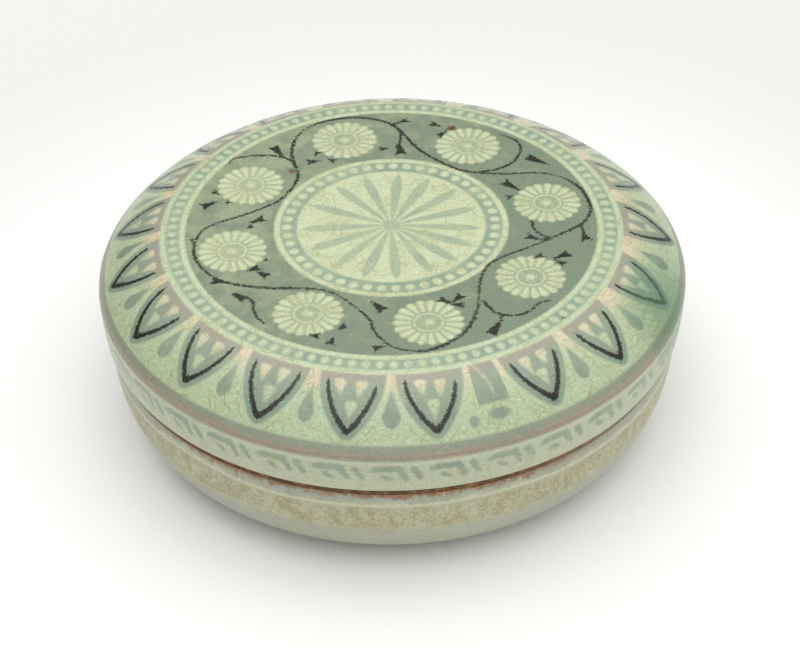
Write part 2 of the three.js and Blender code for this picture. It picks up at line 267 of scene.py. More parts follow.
def rounded(points, radii):
    """A profile with each corner rounded by its radius, where that isn't zero."""
    parts = []
    for i, (point, radius) in enumerate(zip(points, radii)):
        if radius:
            parts.append(arc_points(point, points[i - 1], points[i + 1], radius))
        else:
            parts.append(np.array([point], float))
    return np.vstack(parts)


def arc_length(profile):
    """How far each point of a profile lies along it."""
    return np.concatenate([[0], np.cumsum(np.linalg.norm(np.diff(profile, axis=0), axis=1))])


def spaced(profile, step, turning=1.5):
    """The same profile with its points about a step apart, and closer where it bends."""
    along = np.diff(profile, axis=0)
    heading = np.unwrap(np.arctan2(along[:, 1], along[:, 0]))
    bend = np.abs(np.diff(heading, append=heading[-1]))
    weight = arc_length(profile) + turning * np.concatenate([[0], np.cumsum(bend)])
    count = max(2, round(weight[-1] / step))
    wanted = np.linspace(0, weight[-1], count + 1)
    return np.stack([np.interp(wanted, weight, profile[:, axis]) for axis in (0, 1)], axis=1)


def softened(profile, reach):
    """The same profile in even steps, with each point the mean of those within a reach of it."""
    step = reach / 8
    along = arc_length(profile)
    wanted = np.linspace(0, along[-1], round(along[-1] / step) + 1)
    even = np.stack([np.interp(wanted, along, profile[:, axis]) for axis in (0, 1)], axis=1)
    before = 2 * even[0] - even[8:0:-1]
    after = 2 * even[-1] - even[-2:-10:-1]
    padded = np.vstack([before, even, after])
    share = np.hanning(19)[1:-1] / np.hanning(19).sum()
    return np.stack([np.convolve(padded[:, axis], share, "valid") for axis in (0, 1)], axis=1)


def set_in(profile, depth):
    """The profile parallel to another, to its right as it runs, by a depth. The axis stays on the axis."""
    along = np.diff(profile, axis=0)
    along /= np.linalg.norm(along, axis=1)[:, None]
    right = np.stack([along[:, 1], -along[:, 0]], axis=1)
    before = np.vstack([right[:1], right])
    after = np.vstack([right, right[-1:]])
    mitre = (before + after) / (1 + np.sum(before * after, axis=1))[:, None]
    shifted = profile + depth * mitre
    shifted[profile[:, 0] < 1e-9, 0] = 0
    return shifted


def bowl(floor, mouth, fullness, steps=60):
    """A bowl's curve from the edge of its flat floor to its mouth; a mouth under the floor gives a dome."""
    turn = np.linspace(0, math.pi / 2, steps)
    out = np.sin(turn) ** (2 / fullness)
    down = np.cos(turn) ** (2 / fullness)
    radius = floor[0] + (mouth[0] - floor[0]) * out
    level = mouth[1] - (mouth[1] - floor[1]) * down
    return np.stack([radius, level], axis=1)


def cover_outside():
    """The cover's outside from the middle of its crown to its rim."""
    radius = np.linspace(0, CROWN_RADIUS, 200)
    crown = np.stack([radius, CROWN - CROWN_SAG * (radius / CROWN_RADIUS) ** 16], axis=1)
    out = np.sin(np.linspace(0, math.pi / 2, 200)[1:])
    edge_rise = CROWN - CROWN_SAG - SHOULDER_EDGE
    fall = np.clip(1 - out**SHOULDER_START, 0, 1) ** SHOULDER_END
    shoulder = np.stack([CROWN_RADIUS + SHOULDER_WIDTH * out, SHOULDER_EDGE + edge_rise * fall], axis=1)
    down = np.linspace(0, 1, 30)[1:]
    side_height = SHOULDER_EDGE - COVER_BASE
    side = np.stack([COVER_RADIUS - RIM_LEAN * down**2, SHOULDER_EDGE - side_height * down], axis=1)
    return set_in(softened(np.vstack([crown, shoulder, side]), CROWN_TURN), SKIN)


def cover_inside():
    """The cover's inside from the middle of its ceiling to the straight part that clears the flange."""
    ceiling = (CROWN_RADIUS - COVER_THICKNESS, CROWN - COVER_THICKNESS)
    middle = np.stack([np.linspace(0, ceiling[0], 80)[:-1], np.full(79, ceiling[1])], axis=1)
    return np.vstack([middle, bowl(ceiling, (MOUTH_RADIUS, STRAIGHT_TOP), DOME_FULLNESS)])


def box_outside():
    """The box's outside from the middle of its base to its rim."""
    ring_inner = FOOT_RADIUS - FOOT_RING_WIDTH
    base = rounded(
        [(0, FOOT_RECESS), (ring_inner - FOOT_RECESS, FOOT_RECESS), (ring_inner, FOOT), (FOOT_RADIUS, FOOT)],
        [0, 0.6, 0.5, 0],
    )
    wall = bowl((FOOT_RADIUS, FOOT), (BOX_RADIUS, SEAM), WALL_FULLNESS, 200)
    return np.vstack([base[:-1], wall])


def box_inside():
    """The box's inside from the middle of its floor to just under its flange's bare top."""
    mouth = (BOX_RADIUS - BOX_THICKNESS, SEAM)
    middle = np.stack([np.linspace(0, FOOT_RADIUS, 80)[:-1], np.full(79, FLOOR_LEVEL)], axis=1)
    wall = bowl((FOOT_RADIUS, FLOOR_LEVEL), mouth, WALL_FULLNESS)
    wall = wall[wall[:, 0] < FLANGE_INNER - 0.3]
    start = wall[-1, 1] + 0.5
    flange = np.linspace((FLANGE_INNER, start), (FLANGE_INNER, FLANGE_TOP - FLANGE_BARE), 12)
    return np.vstack([middle, wall, flange])


def coat(outer, side, step, hidden_step=3.0):
    """A closed coat of glaze: its visible profile, a rounded edge, and the way back next to the clay.

    side is 1 where the clay lies to the visible profile's right as it runs, and -1 on its left.
    Returns the loop, and how many of its points are on the visible side.
    """
    seen = spaced(outer, step)
    hidden = spaced(set_in(outer, side * GLAZE), hidden_step)[::-1]
    middle = (seen[-1] + hidden[0]) / 2
    ahead = seen[-1] - seen[-2]
    bulge = ahead / np.linalg.norm(ahead) * GLAZE / 2
    turns = np.linspace(0, math.pi, EDGE_POINTS + 2)[1:-1, None]
    edge = middle + (seen[-1] - middle) * np.cos(turns) + bulge * np.sin(turns)
    return np.vstack([seen, edge, hidden]), len(seen)


def sway(points):
    """The uneven hand-thrown surface: a slightly oval plan, and a rim and a crown that rise and dip."""
    x, y, z = points.T
    angle = np.arctan2(y, x)
    radius = np.hypot(x, y)
    share = np.clip(radius / COVER_RADIUS, 0, 1) ** 2
    oval = 1 - 0.0008 * (1 - np.cos(2 * angle - 0.9)) - 0.0004 * (1 - np.cos(3 * angle + 0.6))
    rise = np.clip((CROWN - z) / (CROWN - COVER_BASE), 0, 1)
    on_cover = (z > COVER_BASE - 0.01) & (radius > MOUTH_RADIUS - 0.2)
    lift = np.where(on_cover, 0.09 * rise * (1 + np.sin(2 * angle + 2.2)), 0)
    sag = np.where(z > SEAM + 4, 0.12 * share * (1 - rise) * (1 + np.sin(angle * 2 + 0.4)), 0)
    return np.stack([x * oval, y * oval, z + lift - sag], axis=1)


def placed(name, data):
    """A new object in the scene."""
    item = bpy.data.objects.new(name, data)
    bpy.context.scene.collection.objects.link(item)
    return item


def ring_starts(loop, steps):
    """Which points of a loop lie on the axis, and where each one's ring starts in the mesh."""
    on_axis = loop[:, 0] < 1e-6
    return on_axis, np.concatenate([[0], np.cumsum(np.where(on_axis, 1, steps))])


def turned(name, loop, split, steps, discs):
    """A closed mesh turned round Z from a loop that starts and ends on the axis.

    Its bake map has the loop's points up to split on one disc and the rest on another. A disc is
    its middle and its radius.
    """
    on_axis, starts = ring_starts(loop, steps)
    angles = np.arange(steps) * FULL_TURN / steps
    points = np.zeros((starts[-1], 3))
    for i, (radius, level) in enumerate(loop):
        if on_axis[i]:
            points[starts[i]] = (0, 0, level)
        else:
            ring = np.stack([radius * np.cos(angles), radius * np.sin(angles), 0 * angles + level], 1)
            points[starts[i] : starts[i] + steps] = ring
    j = np.arange(steps)
    k = (j + 1) % steps
    faces = []
    for i in range(len(loop) - 1):
        a, b = starts[i], starts[i + 1]
        if on_axis[i]:
            faces += np.stack([0 * j + a, b + j, b + k], 1).tolist()
        elif on_axis[i + 1]:
            faces += np.stack([a + j, 0 * j + b, a + k], 1).tolist()
        else:
            faces += np.stack([a + j, b + j, b + k, a + k], 1).tolist()
    mesh = bpy.data.meshes.new(name)
    mesh.from_pydata((sway(points) * MM).tolist(), [], faces)
    mesh.polygons.foreach_set("use_smooth", np.ones(len(mesh.polygons), bool))
    lay_bake_map(mesh, points, loop, split, steps, discs)
    return placed(name, mesh)


def lay_bake_map(mesh, points, loop, split, steps, discs):
    """The texture map that a bake uses, as two discs with true lengths along the profile."""
    along = arc_length(loop)
    far_end = along[-1]
    on_axis, _ = ring_starts(loop, steps)
    point_run = np.repeat(along, np.where(on_axis, 1, steps))
    angle = np.arctan2(points[:, 1], points[:, 0])
    corner = np.zeros(len(mesh.loops), int)
    mesh.loops.foreach_get("vertex_index", corner)
    size = np.zeros(len(mesh.polygons), int)
    mesh.polygons.foreach_get("loop_total", size)
    on_first = np.repeat(np.repeat(np.arange(len(loop) - 1) < split, steps), size)
    (first_middle, first_radius), (second_middle, second_radius) = discs
    run = point_run[corner]
    first = run / along[split] * first_radius
    second = (far_end - run) / (far_end - along[split]) * second_radius
    radius = np.where(on_first, first, second)
    middle = np.where(on_first[:, None], first_middle, second_middle)
    heading = np.stack([np.cos(angle[corner]), np.sin(angle[corner])], axis=1)
    layer = mesh.uv_layers.new(name="OFBake")
    layer.data.foreach_set("uv", (middle + radius[:, None] * heading).ravel())


def make_cover():
    """The cover's clay, its inlaid coat and its lining."""
    outside = cover_outside()
    inside = cover_inside()
    coat_loop, seen = coat(outside[outside[:, 1] > COVER_BASE + COVER_BARE], 1, INLAY_STEP)
    glaze = turned("cover_glaze", coat_loop, seen + EDGE_POINTS - 1, TURN_STEPS, MAIN_DISCS)
    draw_inlay(glaze.data, coat_loop[:seen])
    lining_loop, lined = coat(inside[:-LINING_SHORT], -1, PLAIN_STEP)
    split = len(lining_loop) - lined
    lining = turned("cover_lining", lining_loop[::-1], split, LINING_STEPS, EVEN_DISCS)
    core = spaced(set_in(outside[outside[:, 1] > COVER_BASE + 1], GLAZE - LAP), PLAIN_STEP)
    rim_level = COVER_BASE + 0.05
    rim_edge = (RIM_RADIUS - GLAZE, rim_level)
    mouth_edge = (MOUTH_RADIUS, rim_level)
    rim = rounded([core[-1], rim_edge, mouth_edge, (MOUTH_RADIUS, STRAIGHT_TOP)], [0, 0.35, 0.4, 0])[1:]
    hollow = spaced(set_in(inside, -(GLAZE - LAP)), PLAIN_STEP)[::-1]
    hollow = hollow[hollow[:, 1] > STRAIGHT_TOP + 0.1]
    clay = turned("cover_clay", np.vstack([core, rim, hollow]), len(core) + 4, CLAY_STEPS, EVEN_DISCS)
    return clay, glaze, lining


def make_box():
    """The box's clay, its coat and its lining."""
    outside = box_outside()
    inside = box_inside()
    coat_loop, seen = coat(outside[outside[:, 1] < SEAM - BOX_BARE], -1, BOX_STEP, 1.5)
    split = len(coat_loop) - seen - EDGE_POINTS + 1
    glaze = turned("box_glaze", coat_loop[::-1], split, BOX_STEPS, EVEN_DISCS)
    lining_loop, lined = coat(inside, 1, PLAIN_STEP)
    lining = turned("box_lining", lining_loop, lined + EDGE_POINTS - 1, LINING_STEPS, EVEN_DISCS)
    floor = spaced(set_in(inside, GLAZE - LAP), PLAIN_STEP)
    core = spaced(set_in(outside[outside[:, 1] < SEAM - 1.5], -(GLAZE - LAP)), PLAIN_STEP)[::-1]
    flange_inner = FLANGE_INNER + GLAZE - LAP
    flange = [(flange_inner, FLANGE_TOP), (FLANGE_RADIUS, FLANGE_TOP), (FLANGE_RADIUS, SEAM)]
    corners = [floor[-1], *flange, (BOX_RADIUS - 0.12, SEAM), core[0]]
    top = rounded(corners, [0, 0.5, 0.5, 0.25, 0.4, 0])[1:-1]
    clay = turned("box_clay", np.vstack([floor, top, core]), len(floor) + 6, CLAY_STEPS, EVEN_DISCS)
    return clay, glaze, lining


def smooth(path, closed=False, steps=6):
    """A path with more points, on a curve that passes through each of its own."""
    points = np.array(path, float)
    if closed:
        padded = np.vstack([points[-1:], points, points[:2]])
    else:
        padded = np.vstack([2 * points[0] - points[1], points, 2 * points[-1] - points[-2]])
    shares = np.linspace(0, 1, steps, endpoint=False)[:, None]
    parts = []
    for before, start, end, after in zip(padded, padded[1:], padded[2:], padded[3:]):
        bend = 2 * before - 5 * start + 4 * end - after
        twist = 3 * start - before - 3 * end + after
        parts.append(start + (end - before) / 2 * shares + bend / 2 * shares**2 + twist / 2 * shares**3)
    return np.vstack([*parts, padded[-2:-1]])


class Drawing:
    """How far points of a flat drawing are from its motifs, in mm, with less than 0 inside them."""

    def __init__(self, points):
        self.points = points
        self.distance = np.full(len(points), FAR)

    def near(self, *places):
        """The numbers of the points that lie within FAR of some places' box."""
        low = np.min(places, axis=0) - FAR
        high = np.max(places, axis=0) + FAR
        return np.flatnonzero(np.all((self.points > low) & (self.points < high), axis=1))

    def add(self, numbers, distance):
        self.distance[numbers] = np.minimum(self.distance[numbers], distance)

    def stroke(self, path, widths):
        """A brush stroke along a path, with its half-width at each point."""
        for start, end, first, last in zip(path, path[1:], widths, widths[1:]):
            numbers = self.near(start, end)
            run = end - start
            away = self.points[numbers] - start
            share = np.clip(away @ run / (run @ run), 0, 1)
            gap = np.linalg.norm(away - share[:, None] * run, axis=1)
            self.add(numbers, gap - first - (last - first) * share)

    def wedge(self, tail, end, half_width):
        """A leaf that widens from its tail to a blunt end."""
        tail, end = np.array(tail, float), np.array(end, float)
        numbers = self.near(tail, end)
        length = np.linalg.norm(end - tail)
        along = (end - tail) / length
        away = self.points[numbers] - tail
        forward = away @ along
        aside = np.abs(away @ np.array([-along[1], along[0]]))
        width = 0.14 + (half_width - 0.14) * np.clip(forward / length, 0, 1) ** 1.2
        dent = 0.35 * (1 - aside / half_width)
        self.add(numbers, np.maximum(np.maximum(aside - width, -forward), forward - length + dent))


def turn_between(angle, middle):
    """The signed turn from one angle to another, in degrees, the short way round."""
    return (angle - middle + 180) % 360 - 180


def draw_vine(points):
    """The black vine of the field with its curls, stems and leaves."""
    drawing = Drawing(points)
    vine = smooth(VINE, closed=True)
    knots = random.uniform(0.14, 0.29, len(VINE) + 1)
    knots[-1] = knots[0]
    drawing.stroke(vine, np.interp(np.linspace(0, len(VINE), len(vine)), np.arange(len(knots)), knots))
    for stem in STEMS:
        path = smooth(stem)
        drawing.stroke(path, np.linspace(0.27, 0.17, len(path)))
    for tail_x, tail_y, end_x, end_y in LEAVES:
        tail, end = np.array([tail_x, tail_y]), np.array([end_x, end_y])
        length = np.linalg.norm(end - tail)
        drawing.wedge(tail, end, min(0.4 + 0.18 * length, 0.9))
    return drawing.distance


def draw_medallion(reach, angle):
    """The white disc with its star of bare lances."""
    lances = np.full(len(reach), FAR)
    for middle in LANCES:
        turn = np.radians(turn_between(angle, middle + random.uniform(-0.6, 0.6)))
        along = reach * np.cos(turn)
        width = np.interp(along, [0.9, 2, 5.5, 9, 11, 11.9, 12.5], [0, 0.22, 0.5, 0.74, 0.6, 0.34, 0])
        width *= random.uniform(0.9, 1.12)
        lances = np.minimum(lances, np.where(along > 0, np.abs(reach * np.sin(turn)) - width, FAR))
    return np.maximum(np.maximum(reach - MEDALLION_RADIUS, -lances), 1.1 - reach)


def petal_half(run):
    """Half the width of a lotus petal's black outline, where run is the way down the shoulder."""
    share = np.clip((PETAL_TIP - run) / (PETAL_TIP - PETAL_ROOT), 0, 1)
    return PETAL_HALF * (1 - (1 - share) ** 1.9) ** 0.9


def draw_lotus(reach, angle):
    """The lotus petals of the shoulder.

    Returns the distance to the petals' outlines, half the outlines' width, and the distance to the
    white clay round the petals and in them.
    """
    run = reach - RUN_START
    radius = np.interp(reach, [CROWN_RADIUS, CROWN_RADIUS + 12.5], [CROWN_RADIUS, COVER_RADIUS])
    outline = np.full(len(reach), FAR)
    half_stroke = np.full(len(reach), -FAR)
    drops = np.full(len(reach), FAR)
    tears = np.full(len(reach), FAR)
    curve_run = np.concatenate([[0, PETAL_ROOT], np.linspace(PETAL_ROOT, PETAL_TIP, 22)[1:]])
    for middle in [*PETALS, BLANK]:
        before = min((middle - node) % 360 for node in NODES)
        after = min((node - middle) % 360 for node in NODES)
        turn = turn_between(angle, middle)
        here = np.flatnonzero((run > 0) & (turn >= -before) & (turn < after))
        across = np.radians(turn[here]) * radius[here]
        if middle == BLANK:
            panel = Drawing(np.stack([across, run[here]], axis=1))
            panel.stroke(np.array([(-0.9, 4.8), (0.1, 7.0), (0.5, 9.4)]), [0.08, 0.13, 0.08])
            drops[here] = panel.distance
            edge = np.abs(across) - 1.65 - 0.15 * (run[here] - 4.4)
            outline[here] = np.maximum(edge, run[here] - 10.2) + PETAL_MARGIN
            continue
        breadth = random.uniform(0.95, 1.04)
        shift = random.uniform(-0.2, 0.2)
        curve = np.stack([petal_half(curve_run) * breadth, curve_run + shift], axis=1)
        sheet = np.stack([np.abs(across), run[here]], axis=1)
        line = Drawing(sheet)
        line.distance[:] = 3 * FAR
        line.stroke(curve, np.zeros(len(curve)))
        inside = sheet[:, 0] < np.interp(sheet[:, 1], curve[:, 1], curve[:, 0], right=-1)
        outline[here] = np.where(inside, -line.distance, line.distance)
        starts = np.where(across > 0, *random.uniform(5.1, 6.1, 2))
        width = np.interp(run[here], [5, 8, 12, 12.6], [0.22, 0.3, 0.38, 0.46])
        half_stroke[here] = np.minimum(width, (run[here] - starts) * 0.6)
        petal = Drawing(np.stack([across, run[here]], axis=1))
        for aside, top in ((-1.4, 5.9), (1.3, 5.9), (0.05, 8.6)):
            start = np.array([aside, top]) + random.uniform(-0.2, 0.2, 2)
            tip = start + (-0.15 * aside, 2.1 * random.uniform(0.85, 1.1))
            for corner in (-0.36, 0, 0.36):
                petal.stroke([start + (corner, 0), tip], [0.42, 0.06])
        drops[here] = petal.distance
    for middle in TEARS:
        across = np.abs(np.radians(turn_between(angle, middle))) * radius
        breadth = random.uniform(0.85, 1.05)
        width = np.interp(run, [6.2, 8.2, 10.4, 11.5, 12.1], [-0.1, 0.5, 1.2, 0.85, -0.3]) * breadth
        tears = np.minimum(tears, across - width)
    for middle, level, half_width, half_height in PANEL_DROPS:
        aside = np.radians(turn_between(angle, middle)) * radius / half_width
        tears = np.minimum(tears, (np.hypot(aside, (run - level) / half_height) - 1) * half_height)
    ground = np.maximum(np.maximum(PETAL_MARGIN - outline, -tears), np.maximum(run - 14.1, 4 - run))
    return outline, half_stroke, np.minimum(ground, drops)


def draw_fret(reach, angle):
    """The worn key fret round the side, as hooks and slanted marks."""
    run = reach - RUN_START
    pitch = 360 / FRET_HOOKS
    nearest = np.floor(angle / pitch)
    length = np.radians(turn_between(angle, (nearest + 0.5) * pitch)) * COVER_RADIUS
    fret = Drawing(np.stack([length, run], axis=1))
    hook = np.array([(-3.1, 17.8), (-2.3, 17.45), (0.4, 17.4), (1.3, 19.4)])
    mark = np.array([(2.3, 17.6), (3.2, 19.2)])
    inner = np.array([(-1.6, 18.9), (-0.7, 19.4)])
    fret.stroke(hook, [0.36, 0.56, 0.56, 0.36])
    fret.stroke(mark, [0.52, 0.36])
    fret.stroke(inner, [0.4, 0.3])
    return fret.distance


def store(mesh, name, values, rest):
    """Keeps a value for each point of a mesh: those given for its first points, then a fixed one."""
    width = 1 if values.ndim == 1 else 3
    every = np.full((len(mesh.vertices), width), float(rest))
    every[: len(values)] = values.reshape(len(values), width)
    kind, field = ("FLOAT", "value") if width == 1 else ("FLOAT_VECTOR", "vector")
    mesh.attributes.new(name, kind, "POINT").data.foreach_set(field, every.ravel())


def draw_inlay(mesh, seen):
    """Stores what the cover's material needs: where each point is, and how far from each drawing."""
    run = arc_length(seen)
    angle = np.arange(TURN_STEPS) * 360 / TURN_STEPS
    reach = np.concatenate([[0], np.repeat(run[1:], TURN_STEPS)])
    angle = np.concatenate([[0], np.tile(angle, len(seen) - 1)])
    heading = np.stack([np.cos(np.radians(angle)), np.sin(np.radians(angle))], axis=1)
    plan = reach[:, None] * heading
    centres = FLOWER_RING * np.stack([np.cos(np.radians(FLOWERS)), np.sin(np.radians(FLOWERS))], axis=1)
    away = plan[:, None, :] - centres
    nearest = np.argmin(np.linalg.norm(away, axis=2), axis=1)
    away = away[np.arange(len(plan)), nearest]
    flower = np.column_stack([away, np.linalg.norm(away, axis=1)])
    outline, half_stroke, shoulder = draw_lotus(reach, angle)
    store(mesh, "reach", reach, reach[-1])
    store(mesh, "black", draw_vine(plan), FAR)
    store(mesh, "white", np.minimum(draw_medallion(reach, angle), shoulder), FAR)
    store(mesh, "outline", outline, FAR)
    store(mesh, "half_stroke", half_stroke, -FAR)
    store(mesh, "fret", draw_fret(reach, angle), FAR)
    store(mesh, "flower", flower, FAR * 3)


def linear(colour):
    """An sRGB colour, 0 to 255, as the linear colour that a shader wants."""
    share = np.array(colour) / 255
    values = np.where(share <= 0.04045, share / 12.92, ((share + 0.055) / 1.055) ** 2.4)
    return (*values.tolist(), 1)


class Value:
    """A number that varies over a surface: the output of a node, with operators that add nodes."""

    def __init__(self, tree, socket):
        self.tree = tree
        self.socket = socket

    def math(self, operation, *others):
        node = self.tree.nodes.new("ShaderNodeMath")
        node.operation = operation
        for entry, value in zip(node.inputs, (self, *others)):
            connect(self.tree, value, entry)
        return Value(self.tree, node.outputs[0])

    def __add__(self, other):
        return self.math("ADD", other)

    def __sub__(self, other):
        return self.math("SUBTRACT", other)

    def __mul__(self, other):
        return self.math("MULTIPLY", other)

    def __truediv__(self, other):
        return self.math("DIVIDE", other)

    def __abs__(self):
        return self.math("ABSOLUTE")

    def least(self, *others):
        result = self
        for other in others:
            result = result.math("MINIMUM", other)
        return result

    def most(self, *others):
        result = self
        for other in others:
            result = result.math("MAXIMUM", other)
        return result

    def rises(self, low, high):
        """0 where this is low and 1 where it is high, with a smooth step between; low may be the higher."""
        node = self.tree.nodes.new("ShaderNodeMapRange")
        node.interpolation_type = "SMOOTHSTEP"
        connect(self.tree, self, node.inputs["Value"])
        node.inputs["From Min"].default_value = min(low, high)
        node.inputs["From Max"].default_value = max(low, high)
        node.inputs["To Min"].default_value = float(low > high)
        node.inputs["To Max"].default_value = float(low < high)
        return Value(self.tree, node.outputs["Result"])

    def hump(self, middle, half, edge):
        """1 within a half-width of a middle and 0 outside, with smooth edges."""
        return abs(self - middle).rises(half + edge, half - edge)


def connect(tree, value, entry):
    """Feeds an input with a node's output, a colour or a number."""
    if isinstance(value, Value):
        tree.links.new(value.socket, entry)
    elif isinstance(value, tuple):
        entry.default_value = linear(value) if len(value) == 3 and entry.type == "RGBA" else value
    else:
        entry.default_value = value


class Look:
    """A material under construction. Its lengths are in millimetres in the frame of the model."""

    def __init__(self, name):
        self.material = bpy.data.materials.new(name)
        self.material.use_nodes = True
        self.tree = self.material.node_tree
        self.shader = self.tree.nodes["Principled BSDF"]
        self.shader.inputs["Specular IOR Level"].default_value = 0.42
        here = self.tree.nodes.new("ShaderNodeTexCoord")
        self.place = self.vector("SCALE", Value(self.tree, here.outputs["Object"]), scale=1 / MM)
        parts = self.tree.nodes.new("ShaderNodeSeparateXYZ")
        connect(self.tree, self.place, parts.inputs[0])
        self.x, self.y, self.z = (Value(self.tree, entry) for entry in parts.outputs)
        self.turn = self.y.math("ARCTAN2", self.x)

    def vector(self, operation, *vectors, scale=None):
        node = self.tree.nodes.new("ShaderNodeVectorMath")
        node.operation = operation
        for entry, value in zip(node.inputs, vectors):
            connect(self.tree, value, entry)
        if scale is not None:
            node.inputs["Scale"].default_value = scale
        output = "Value" if operation == "DISTANCE" else "Vector"
        return Value(self.tree, node.outputs[output])

    def stored(self, name, output="Fac"):
        """What a mesh keeps under a name for each of its points."""
        node = self.tree.nodes.new("ShaderNodeAttribute")
        node.attribute_name = name
        return Value(self.tree, node.outputs[output])

    def noise(self, pitch, detail=2.0, roughness=0.5, stretch=(1, 1, 1)):
        """Cloudy noise about 0, from -0.5 to 0.5, with blotches about a pitch across."""
        node = self.tree.nodes.new("ShaderNodeTexNoise")
        place = self.place if stretch == (1, 1, 1) else self.vector("DIVIDE", self.place, stretch)
        connect(self.tree, place, node.inputs["Vector"])
        node.inputs["Scale"].default_value = 1 / pitch
        node.inputs["Detail"].default_value = detail
        node.inputs["Roughness"].default_value = roughness
        return Value(self.tree, node.outputs["Fac"]) - 0.5

    def cracks(self, pitch, warp):
        """The distance to the nearest of a net of cracks about a pitch apart."""
        bend = self.tree.nodes.new("ShaderNodeTexNoise")
        connect(self.tree, self.place, bend.inputs["Vector"])
        bend.inputs["Scale"].default_value = 1 / (1.6 * pitch)
        bent = Value(self.tree, bend.outputs["Color"])
        shifted = self.vector("MULTIPLY_ADD", bent, (warp, warp, warp), self.place)
        node = self.tree.nodes.new("ShaderNodeTexVoronoi")
        node.feature = "DISTANCE_TO_EDGE"
        connect(self.tree, shifted, node.inputs["Vector"])
        node.inputs["Scale"].default_value = 1 / pitch
        return Value(self.tree, node.outputs["Distance"]) * pitch

    def from_point(self, point):
        """The distance to a point."""
        return self.vector("DISTANCE", self.place, point)

    def mix(self, first, second, share):
        """The first colour, changed towards the second by a share."""
        node = self.tree.nodes.new("ShaderNodeMix")
        node.data_type = "RGBA"
        connect(self.tree, share, node.inputs["Factor"])
        connect(self.tree, first, node.inputs[6])
        connect(self.tree, second, node.inputs[7])
        return Value(self.tree, node.outputs[2])

    def brightened(self, colour, factor):
        """A colour times a factor."""
        node = self.tree.nodes.new("ShaderNodeHueSaturation")
        connect(self.tree, colour, node.inputs["Color"])
        connect(self.tree, factor, node.inputs["Value"])
        return Value(self.tree, node.outputs["Color"])

    def finish(self, colour, roughness, height):
        """Sets the colour and roughness, and a height in millimetres as bumps."""
        connect(self.tree, colour, self.shader.inputs["Base Color"])
        connect(self.tree, roughness, self.shader.inputs["Roughness"])
        bump = self.tree.nodes.new("ShaderNodeBump")
        bump.inputs["Distance"].default_value = MM
        connect(self.tree, height, bump.inputs["Height"])
        self.tree.links.new(bump.outputs["Normal"], self.shader.inputs["Normal"])
        return self.material


def beads(look, reach, radius, count, half_length, half_width, ragged):
    """The distance to a ring of oval beads."""
    place = (look.turn * (count / FULL_TURN)).math("FRACT") - 0.5
    across = place * (FULL_TURN / count * radius) / half_width
    along = (reach - radius) / half_length
    return ((across * across + along * along).math("SQRT") - 1) * half_width + ragged


def chrysanthemum(look, ragged):
    """The distance to the white parts of the nearest flower, and to the flower's middle."""
    away = look.tree.nodes.new("ShaderNodeSeparateXYZ")
    connect(look.tree, look.stored("flower", "Vector"), away.inputs[0])
    east, north, radius = (Value(look.tree, entry) for entry in away.outputs)
    turn = north.math("ARCTAN2", east) * (FLOWER_PETALS / FULL_TURN) + ragged * 0.6
    slice_width = radius * (FULL_TURN / FLOWER_PETALS)
    across = abs(turn.math("FRACT") - 0.5) * slice_width
    side = across - slice_width * 0.5 + PETAL_GAP
    past = (radius - (FLOWER_RADIUS - PETAL_CAP)).most(0)
    cap = (across * across + past * past).math("SQRT") - PETAL_CAP
    petals = side.most(cap, radius * -1 + 2.35)
    ring = abs(radius - 1.9) - 0.17
    return petals.least(ring, radius - 0.72 + ragged * 2) + ragged, radius


